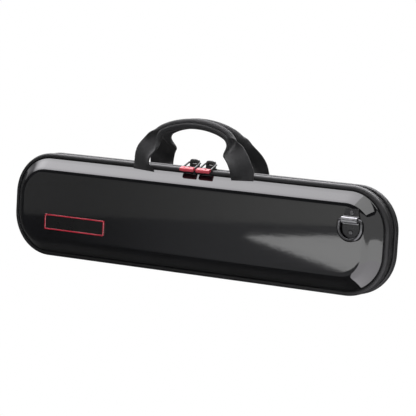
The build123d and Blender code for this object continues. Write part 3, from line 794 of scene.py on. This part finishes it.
def make_handle(side):
    """The webbing: sewn in flat, its inner edge cupping outwards, folded lengthwise at the grip."""
    xs, ss, tangents, bulges, spots, total = handle_path()
    rings, uvs = [], []
    for x, s, tangent, bulge, spot in zip(xs, ss, tangents, bulges, spots):
        ring = []
        for point, uv in handle_ring((x, s), tangent, float(bulge), min(spot, total - spot), spot):
            place = point if side == "lid" else Vector((-point.x, -point.y, point.z))
            sway = SWAY * smooth((place.z - ROOT_HEIGHT) / SWAY_HEIGHT)
            ring.append(place + Vector((sway, 0, 0)))
            uvs.append(uv)
        rings.append(ring)
    verts, faces = loft(rings, caps=(0, len(rings) - 1))
    strap = make_object(f"{side}_handle_webbing", verts, faces, WEBBING, uvs=uvs)
    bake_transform(strap)
    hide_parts(f"{side}_handle", f"{side}_handle_tabs")
    strap.visible_glossy = False


# ---------------------------------------------------------------- linings

# (inset, depth) in millimetres: the rolled rim of the lining, and its tuck into the pocket.
LINING_RIM = [(6.95, 11.6), (6.95, 2.2), (7.3, 1.3), (8.2, 0.85), (9.5, LINING_TOP / MM)]
LINING_TUCK = [(-3.0, 0.8), (-1.4, 0.95), (-0.5, 1.5), (-0.05, 2.6), (0.0, 5.0)]
LINING_WALL_RINGS = 10
LINING_CLEARANCE = 0.6 * MM


def make_lining(side, floor):
    """Plush over the foam: rounded at the rim and tucked down into the pocket."""
    skin_insets, skin_depths = zip(*shell_profile(SHELL_WALL + LINING_GAP))
    wall_depths = np.linspace(floor + LINING_CLEARANCE, WELT_DEPTH, LINING_WALL_RINGS)
    wall = [(float(np.interp(d, skin_depths, skin_insets)), float(d)) for d in wall_depths]
    rings = profile_rings(side, wall + [(i * MM, d * MM) for i, d in LINING_RIM])
    tuck = [(i * MM, d * MM) for i, d in LINING_TUCK] + [(0.0, floor)]
    rings += profile_rings(side, tuck, POCKET)
    verts, faces = loft(rings, caps=(0, len(rings) - 1))
    lining = make_object(f"{side}_foam_lining", verts, faces, PLUSH)
    for polygon in lining.data.polygons[-2:]:
        polygon.use_smooth = False
    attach(lining, side)
    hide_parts(f"{side}_foam")


def slot_distance(x, z, centre_x, centre_z, length, width):
    """How far a point lies outside a round-ended slot; negative inside."""
    reach = max(abs(x - centre_x) - (length - width) / 2, 0.0)
    return math.hypot(reach, z - centre_z) - width / 2


# (x, z, length, width) of each trough and (x, z, diameter) of each finger scoop.
TROUGHS = [
    (0.0, 68 * MM, 356 * MM, 29 * MM),
    (70.5 * MM, 37 * MM, 226 * MM, 23 * MM),
    (-115.5 * MM, 37 * MM, 136 * MM, 23 * MM),
]
SCOOPS = [(60 * MM, 51 * MM, 26 * MM), (-110 * MM, 51 * MM, 26 * MM)]
SCOOP_DEPTH = 12 * MM
TROUGH_EDGE, TROUGH_RUN = 0.6 * MM, 8.0 * MM
TROUGH_ROUNDING = (2.6, 0.62)
SCOOP_EDGE, SCOOP_RUN = 1.0 * MM, 6.0 * MM
PANEL_STEP = 1.25 * MM
PANEL_GAP = 0.3 * MM
PANEL_EDGE_DROP = 0.8 * MM
PAD_CROWN = 2.2 * MM
PAD_CROWN_RUN = 14 * MM
PAD_SEAM_INSET, PAD_SEAM_WIDTH, PAD_SEAM_DEPTH = 9 * MM, 1.0 * MM, 1.1 * MM
PAD_RIPPLE, PAD_RIPPLE_RATE = 0.25 * MM, 28
PAD_CORD_RADIUS, PAD_CORD_SIDES = 0.7 * MM, 8


def tray_depth(x, z):
    """Depth of the tray's plush surface at a point of its face."""
    depth = TRAY_TOP
    for centre_x, centre_z, length, width in TROUGHS:
        inside = -slot_distance(x, z, centre_x, centre_z, length, width)
        share = min(1.0, max(0.0, (inside + TROUGH_EDGE) / TROUGH_RUN))
        rounded = (1 - (1 - share) ** TROUGH_ROUNDING[0]) ** TROUGH_ROUNDING[1]
        depth = max(depth, TRAY_TOP + (CAVITY_FLOOR - TRAY_TOP) * rounded)
    for centre_x, centre_z, diameter in SCOOPS:
        inside = diameter / 2 - math.hypot(x - centre_x, z - centre_z)
        depth = max(depth, TRAY_TOP + SCOOP_DEPTH * smooth((inside + SCOOP_EDGE) / SCOOP_RUN))
    return depth


def pad_depth(x, z):
    """Depth of the lid pad's crowned face at a point."""
    edge = min(POCKET[0] / 2 - abs(x), POCKET[1] / 2 - abs(z - MID_HEIGHT))
    crown = smooth(edge / PAD_CROWN_RUN)
    seam = math.exp(-(((edge - PAD_SEAM_INSET) / PAD_SEAM_WIDTH) ** 2))
    ripple = noise.noise(Vector((x, 0, z)) * PAD_RIPPLE_RATE) * PAD_RIPPLE
    return PAD_TOP + PAD_CROWN * (1 - crown) + PAD_SEAM_DEPTH * seam + ripple * crown


def panel(name, side, depth_at, back, material):
    """A closed padded panel that fills the pocket, its face shaped by a depth at each point."""
    length, height, radius = (v - 2 * PANEL_GAP for v in POCKET)
    nx = round(length / PANEL_STEP)
    nz = round(height / PANEL_STEP)
    verts, faces = [], []
    for j in range(nz + 1):
        for i in range(nx + 1):
            x = -length / 2 + length * i / nx
            z = -height / 2 + height * j / nz
            over_x = abs(x) - (length / 2 - radius)
            over_z = abs(z) - (height / 2 - radius)
            if over_x > 0 and over_z > 0:
                squeeze = max(over_x, over_z) / math.hypot(over_x, over_z)
                x = math.copysign(length / 2 - radius + over_x * squeeze, x)
                z = math.copysign(height / 2 - radius + over_z * squeeze, z)
            z += MID_HEIGHT
            edge = i in (0, nx) or j in (0, nz)
            verts.append((x, depth_at(x, z) + (PANEL_EDGE_DROP if edge else 0.0), z))
    row = nx + 1
    for j in range(nz):
        for i in range(nx):
            faces.append((j * row + i, j * row + i + 1, (j + 1) * row + i + 1, (j + 1) * row + i))
    rim = list(range(row))
    rim += [j * row + nx for j in range(1, nz + 1)]
    rim += [nz * row + i for i in range(nx - 1, -1, -1)]
    rim += [j * row for j in range(nz - 1, 0, -1)]
    base = len(verts)
    for index in rim:
        x, _, z = verts[index]
        verts.append((x, back - PANEL_GAP, z))
    for k in range(len(rim)):
        n = (k + 1) % len(rim)
        faces.append((rim[k], rim[n], base + n, base + k))
    faces.append(tuple(range(base, base + len(rim))))
    made = make_object(name, on_side(side, verts), faces, material)
    made.data.polygons[-1].use_smooth = False
    return made


def make_tray():
    """The moulded tray, with a trough for each joint and a scoop for the fingers."""
    tray = panel("flute_tray_plush", "base", lambda x, z: tray_depth(-x, z), TRAY_BACK, PLUSH)
    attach(tray, "base")
    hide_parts("flute_tray")


SWELL_VOXEL = 4.5 * MM
SWELL_PRESSURE = 4.0
SWELL_CAP = 3.0 * MM
SWELL_FRAMES = 20
SWELL_QUALITY = 5
SWELL_MASS = 0.2
POCKET_CLEARANCE = 0.2 * MM


def baked(piece):
    """A new mesh of the piece with its modifiers applied."""
    graph = bpy.context.evaluated_depsgraph_get()
    return bpy.data.meshes.new_from_object(piece.evaluated_get(graph))


def swell(piece):
    """Remeshes a pad evenly and blows it up a little with a cloth run, each point's move capped."""
    remesh = piece.modifiers.new("remesh", "REMESH")
    remesh.mode = "VOXEL"
    remesh.voxel_size = SWELL_VOXEL
    mesh = baked(piece)
    piece.modifiers.clear()
    piece.data = mesh
    start = [vertex.co.copy() for vertex in mesh.vertices]
    cloth = piece.modifiers.new("swell", "CLOTH")
    cloth.settings.quality = SWELL_QUALITY
    cloth.settings.mass = SWELL_MASS
    cloth.settings.use_pressure = True
    cloth.settings.uniform_pressure_force = SWELL_PRESSURE
    cloth.settings.effector_weights.gravity = 0
    scene = bpy.context.scene
    for number in range(1, SWELL_FRAMES + 1):
        scene.frame_set(number)
    moved = [vertex.co.copy() for vertex in baked(piece).vertices]
    piece.modifiers.clear()
    scene.frame_set(1)
    for vertex, before, after in zip(mesh.vertices, start, moved):
        step = after - before
        if step.length > SWELL_CAP:
            step *= SWELL_CAP / step.length
        vertex.co = before + step


def keep_in_pocket(piece):
    """Presses the swollen pad back within the pocket's walls and off the lid's lining."""
    length, height, radius = (v - 2 * POCKET_CLEARANCE for v in POCKET)
    for vertex in piece.data.vertices:
        place = vertex.co
        place.x = min(length / 2, max(-length / 2, place.x))
        place.z = MID_HEIGHT + min(height / 2, max(-height / 2, place.z - MID_HEIGHT))
        over_x = abs(place.x) - (length / 2 - radius)
        over_z = abs(place.z - MID_HEIGHT) - (height / 2 - radius)
        if over_x > 0 and over_z > 0 and math.hypot(over_x, over_z) > radius:
            squeeze = radius / math.hypot(over_x, over_z)
            place.x = math.copysign(length / 2 - radius + over_x * squeeze, place.x)
            place.z = MID_HEIGHT + math.copysign(
                height / 2 - radius + over_z * squeeze, place.z - MID_HEIGHT
            )
        place.y = min(-PAD_CREST, max(POCKET_CLEARANCE - PAD_BACK, place.y))


def seam_cord(pad, inset, radius):
    """A fine piping cord sewn round the pad's face, lying on the swollen surface."""
    graph = bpy.context.evaluated_depsgraph_get()
    surface = BVHTree.FromObject(pad, graph)
    points = []
    for x, z in outline(inset, POCKET):
        found = surface.ray_cast(Vector((x, 0.0, z)), Vector((0, -1, 0)))[0]
        points.append(Vector((x, (found.y if found else -PAD_TOP) + 0.25 * radius, z)))
    verts, faces = tube(points, radius, PAD_CORD_SIDES, (0, 1, 0), closed=True)
    cord = make_object("lid_pad_piping", verts, faces, THREAD)
    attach(cord, "lid")


def make_lid_pad():
    """The lid's cushion: a flat bag of plush that the cloth run swells, piped round its face."""
    pad = panel("lid_pad_plush", "lid", pad_depth, PAD_BACK, PLUSH)
    swell(pad)
    keep_in_pocket(pad)
    pad.data.materials.clear()
    pad.data.materials.append(PLUSH)
    for polygon in pad.data.polygons:
        polygon.use_smooth = True
    round_off = pad.modifiers.new("round_off", "SUBSURF")
    round_off.levels = round_off.render_levels = 1
    seam_cord(pad, PAD_SEAM_INSET, PAD_CORD_RADIUS)
    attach(pad, "lid")
    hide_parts("lid_pad")


# ---------------------------------------------------------------- CAD nodes that stay

NODE_MATERIALS = {
    "frame": FRAME_BOARD,
    "zip_tape": TAPE_CAD,
    "zip_stops": LACQUER,
    "ring_plate": PLATE_METAL,
    "ring_bracket": BRACKET_METAL,
    "strap_ring": RING_METAL,
    "ring_rivets": RING_METAL,
    "badge_plate": BADGE_FIELD,
    "badge_rim": BADGE_RED,
    "slider": LACQUER,
    "pull_frame": LACQUER,
    "pull_grip": RUBBER,
}


def dress_nodes():
    """Gives every CAD node that stays in view its own material."""
    for name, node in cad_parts.items():
        for ending, material in NODE_MATERIALS.items():
            if name.endswith(ending):
                node.data.materials.clear()
                node.data.materials.append(material)


# ---------------------------------------------------------------- camera, floor and light

CAMERA_AZIMUTH = math.radians(30.645)
CAMERA_ELEVATION = math.radians(6.295)
CAMERA_ROLL = math.radians(3.242)
CAMERA_DISTANCE = 2.1391
CAMERA_LENS = 182.06
CAMERA_SHIFT = (0.02366, 0.03182)
AIM = Vector((0, 0, 53.9 * MM))


def make_camera():
    """The camera fitted to the photograph's outline, tilted a little on its own axis."""
    data = bpy.data.cameras.new("camera")
    data.lens = CAMERA_LENS
    data.sensor_width = 36
    data.shift_x, data.shift_y = CAMERA_SHIFT
    data.clip_start, data.clip_end = 0.05, 60
    camera = bpy.data.objects.new("camera", data)
    bpy.context.scene.collection.objects.link(camera)
    a, e = CAMERA_AZIMUTH, CAMERA_ELEVATION
    back = Vector((math.sin(a) * math.cos(e), -math.cos(a) * math.cos(e), math.sin(e)))
    right = Vector((math.cos(a), math.sin(a), 0))
    up = back.cross(right)
    rolled_right = right * math.cos(CAMERA_ROLL) + up * math.sin(CAMERA_ROLL)
    rolled_up = up * math.cos(CAMERA_ROLL) - right * math.sin(CAMERA_ROLL)
    camera.matrix_world = Matrix.Translation(AIM + back * CAMERA_DISTANCE) @ Matrix(
        (
            (rolled_right.x, rolled_up.x, back.x, 0),
            (rolled_right.y, rolled_up.y, back.y, 0),
            (rolled_right.z, rolled_up.z, back.z, 0),
            (0, 0, 0, 1),
        )
    )
    bpy.context.scene.camera = camera


def make_floor():
    """A pale floor that bounces light but leaves what hangs below it in view."""
    size = 6.0
    verts = [(-size, -size, 0), (size, -size, 0), (size, size, 0), (-size, size, 0)]
    material, tree, output = bare_material("floor_pale")
    path = add(tree, "ShaderNodeLightPath")
    sights = path.outputs["Is Camera Ray"], path.outputs["Is Shadow Ray"]
    unseen = blend_value(tree, *sights, "MAXIMUM")
    chalk = add(tree, "ShaderNodeBsdfDiffuse", Color=(0.85, 0.85, 0.85, 1))
    clear = add(tree, "ShaderNodeBsdfTransparent")
    mix = mix_shaders(tree, unseen, chalk, clear)
    tree.links.new(mix.outputs[0], output.inputs["Surface"])
    floor = make_object("floor", verts, [(0, 1, 2, 3)], material, smooth=False)
    floor.location.z = -0.5 * MM
    floor.visible_glossy = False


def make_world():
    """White to the camera, soft grey to cloth, and a dim room to what shines."""
    world = bpy.data.worlds.new("studio")
    bpy.context.scene.world = world
    world.use_nodes = True
    tree = world.node_tree
    tree.nodes.clear()
    output = add(tree, "ShaderNodeOutputWorld")
    path = add(tree, "ShaderNodeLightPath")
    white, soft, room = (
        add(tree, "ShaderNodeBackground", Color=(1, 1, 1, 1), Strength=strength)
        for strength in (1.0, 0.2, 0.08)
    )
    glossy = mix_shaders(tree, path.outputs["Is Glossy Ray"], soft, room)
    seen = mix_shaders(tree, path.outputs["Is Camera Ray"], glossy, white)
    tree.links.new(seen.outputs[0], output.inputs["Surface"])


def card(name, corners, strength, colour=(1, 1, 1), fade=None):
    """A light panel that only shiny surfaces see; fade is (start x, end x, strength at the end)."""
    material, tree, output = bare_material(name)
    glow = add(tree, "ShaderNodeEmission", Color=(*colour, 1), Strength=strength)
    tree.links.new(glow.outputs[0], output.inputs["Surface"])
    if fade is not None:
        start, end, last = fade
        place = add(tree, "ShaderNodeSeparateXYZ")
        tree.links.new(coordinates(tree), place.inputs[0])
        span = {"From Min": start, "From Max": end, "To Min": strength, "To Max": last}
        slide = add(tree, "ShaderNodeMapRange", interpolation_type="SMOOTHSTEP", **span)
        tree.links.new(place.outputs["X"], slide.inputs["Value"])
        tree.links.new(slide.outputs[0], glow.inputs["Strength"])
    sheet = make_object(name, corners, [tuple(range(len(corners)))], material, smooth=False)
    for flag in ("visible_camera", "visible_diffuse", "visible_transmission", "visible_shadow"):
        setattr(sheet, flag, False)


def standing(corners, y):
    """Corners of a card that stands facing the lid, from (x, z) pairs."""
    return [(x, y, z) for x, z in corners]


def level(corners, z):
    """Corners of a card that lies flat, from (x, y) pairs."""
    return [(x, y, z) for x, y in corners]


def area_light(name, location, size, energy, aim=(0, 0, 0.05)):
    """A rectangular lamp that lights cloth and paint but isn't mirrored in the gloss."""
    data = bpy.data.lights.new(name, "AREA")
    data.shape = "RECTANGLE"
    data.size, data.size_y = size
    data.energy = energy
    lamp = bpy.data.objects.new(name, data)
    lamp.location = location
    lamp.rotation_euler = (Vector(aim) - lamp.location).to_track_quat("-Z", "Y").to_euler()
    bpy.context.scene.collection.objects.link(lamp)
    lamp.visible_glossy = False


# The mirrored panels: a ceiling, a wall in front of the lid and a wall off its right end. The line
# runs round both walls where the room behind the camera meets the table.
CEILING = 1.5
WALL_Y = -0.9
WALL_BACKING = WALL_Y - 0.02
WALL_LEFT, WALL_RIGHT = -1.3, 0.1
WALL_FOOT, WALL_TOP = -0.6, 0.7
TABLE = -0.25
LINE_LEFT, LINE_RIGHT = (WALL_LEFT, -0.113), (WALL_RIGHT, -0.012)
LINE_END = (1.15, -0.1, -0.028)
WEDGE = [(-0.423, -0.068), (-0.232, -0.106), (WALL_RIGHT, -0.17), LINE_RIGHT]
SIDE_TABLE = [
    (WALL_RIGHT, WALL_Y), (WALL_RIGHT, -0.5), (0.2, -0.1), (0.212, 0.03),
    (LINE_END[0], 0.1), LINE_END[:2],
]


def make_lights():
    """An overhead softbox, a weak front fill and the panels seen in the gloss."""
    area_light("softbox", (-0.3, 0.1, 1.6), (2.2, 1.6), 36)
    area_light("fill", (1.2, -1.8, 0.9), (1.6, 1.2), 1.6)
    left, split, right, front, back, side_back = -9, 0.2, 1.45, -0.62, 5, 1.6
    card(
        "ceiling_card",
        level([(left, front), (split, front), (split, back), (left, back)], CEILING),
        strength=6.8,
        colour=(0.985, 0.97, 1.0),
        fade=(-1.2, -3.4, 0.5),
    )
    card(
        "ceiling_side",
        level([(split, front), (right, front), (right, side_back), (split, side_back)], CEILING),
        strength=4.0,
    )
    above = [LINE_LEFT, LINE_RIGHT, (WALL_RIGHT, WALL_TOP), (WALL_LEFT, WALL_TOP)]
    card(
        "wall_glow",
        standing(above, WALL_BACKING),
        strength=1.27,
        colour=(1.0, 1.0, 0.98),
        fade=(-0.15, -0.75, 0.43),
    )
    below = [(WALL_LEFT, WALL_FOOT), (WALL_RIGHT, WALL_FOOT), LINE_RIGHT, LINE_LEFT]
    card(
        "table_shade",
        standing(below, WALL_BACKING),
        strength=0.5,
        colour=(0.96, 0.97, 1.0),
        fade=(-0.42, -0.8, 0.1),
    )
    card("wedge", standing(WEDGE, WALL_Y), strength=4.5)
    near = [(WALL_RIGHT, WALL_Y, z) for z in (TABLE, LINE_RIGHT[1], WALL_TOP)]
    far = [(LINE_END[0], LINE_END[1], z) for z in (TABLE, LINE_END[2], WALL_TOP)]
    card("side_glow", [near[0], far[0], far[1], near[1]], strength=4.3)
    card("side_shade", [near[1], far[1], far[2], near[2]], strength=1.25)
    card("side_table", level(SIDE_TABLE, TABLE), strength=4.3, colour=(0.985, 0.96, 1.0))


for side in SIDES:
    make_shell(side)
    make_welt(side)
    make_stitches(side)
    make_coil(side)
    make_handle(side)
make_lining("base", TRAY_BACK)
make_lining("lid", PAD_BACK)
make_hinge()
make_tray()
make_lid_pad()
dress_nodes()
make_camera()
make_world()
make_floor()
make_lights()
bpy.context.scene.view_settings.view_transform = "Standard"
bpy.context.scene.view_settings.look = "None"
